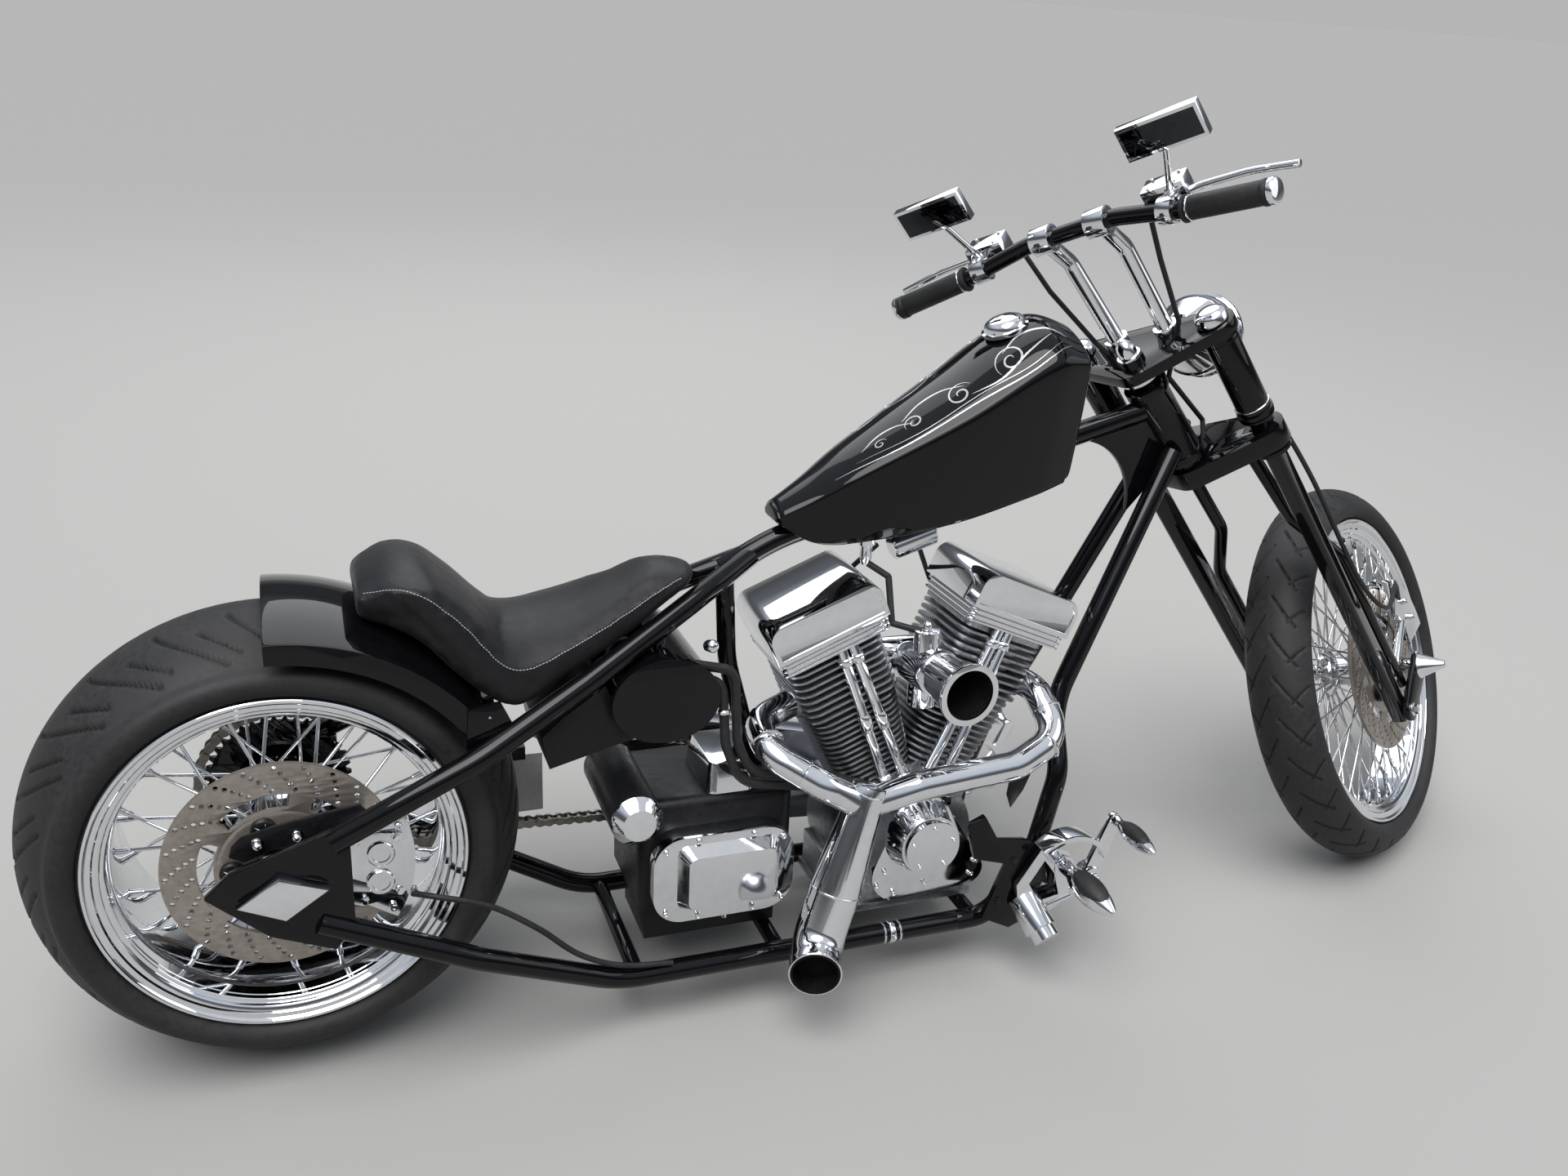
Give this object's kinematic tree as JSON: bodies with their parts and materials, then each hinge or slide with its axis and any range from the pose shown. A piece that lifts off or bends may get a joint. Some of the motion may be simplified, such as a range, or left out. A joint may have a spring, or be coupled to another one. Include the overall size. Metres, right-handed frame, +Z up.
{
  "type": "chopper motorcycle",
  "caption": "Long raked black chopper with a V-twin engine, rigid frame, stretched tank, wide rear tyre and wire wheels, leaning on its side stand.",
  "frame": {"origin": "on the ground, under the middle of the bounding box", "axes": "+X forward, +Y to the rider's left, +Z up"},
  "size_m": [2.5186, 0.6592, 1.3246],
  "materials": {
    "gloss_black": "deep gloss black paint",
    "satin_black": "satin black coating",
    "chrome": "polished chrome plate",
    "polished_aluminium": "mirror polished aluminium",
    "cast_aluminium": "cast and machined aluminium",
    "disc_steel": "ground brake disc steel",
    "chain_steel": "oiled steel",
    "tyre": "tyre rubber",
    "rubber": "black rubber",
    "leather": "black leather with a light seam",
    "plate_paint": "plain white plate"
  },
  "bodies": {
    "rear_wheel": {"rear_tyre": "tyre", "rear_rim_and_spokes": "chrome", "rear_brake_disc": "disc_steel", "rear_sprocket": "chain_steel"},
    "front_wheel": {"front_tyre": "tyre", "front_rim_and_spokes": "chrome", "front_brake_disc": "disc_steel"},
    "chassis": {"frame_upper_stays": "gloss_black", "frame_spine": "gloss_black", "rear_axle_and_plates": "gloss_black", "frame_cross_tubes": "gloss_black", "fuel_tank": "gloss_black", "rear_fender": "gloss_black", "seat": "leather", "oil_tank": "gloss_black", "battery_box": "satin_black", "crankcase": "cast_aluminium", "cylinders": "cast_aluminium", "cylinder_heads": "cast_aluminium", "rocker_boxes": "polished_aluminium", "intake_and_horn": "chrome", "pushrod_tubes": "chrome", "exhaust": "chrome", "gearbox": "satin_black", "engine_covers": "polished_aluminium", "starter": "satin_black", "primary_cover": "polished_aluminium", "drive_chain": "chain_steel", "oil_hoses": "rubber", "forward_controls": "chrome", "frame_downtubes": "gloss_black", "rear_caliper": "polished_aluminium", "plate_and_lamp": "plate_paint", "frame_lower_rails": "gloss_black"},
    "fork": {"fork_trees": "gloss_black", "fork_legs": "gloss_black", "front_axle_and_rockers": "chrome", "front_caliper": "polished_aluminium", "handlebar": "gloss_black", "handlebar_risers": "chrome", "grips": "rubber", "hand_controls": "chrome", "mirrors": "chrome", "headlight": "chrome"},
    "side_stand": {"side_stand": "gloss_black"}
  },
  "joints": [
    {"name": "rear_wheel_spin", "type": "hinge", "parent": "chassis", "child": "rear_wheel", "pos_m": [-0.93734, -0.02055, 0.32147], "axis": [0, 0.9969, -0.0785], "continuous": true},
    {"name": "steering", "type": "hinge", "parent": "chassis", "child": "fork", "pos_m": [0.40693, 0.01998, 0.8364], "axis": [-0.6225, 0.0614, 0.7802], "range_deg": [-72, 0]},
    {"name": "front_wheel_spin", "type": "hinge", "parent": "fork", "child": "front_wheel", "pos_m": [0.94783, 0.05331, 0.31593], "axis": [-0.46, 0.7778, -0.4283], "continuous": true},
    {"name": "side_stand_fold", "type": "hinge", "parent": "chassis", "child": "side_stand", "pos_m": [-0.31734, 0.12638, 0.0471], "axis": [-0.0999, 0.5842, 0.8054], "range_deg": [0, 100]}
  ]
}
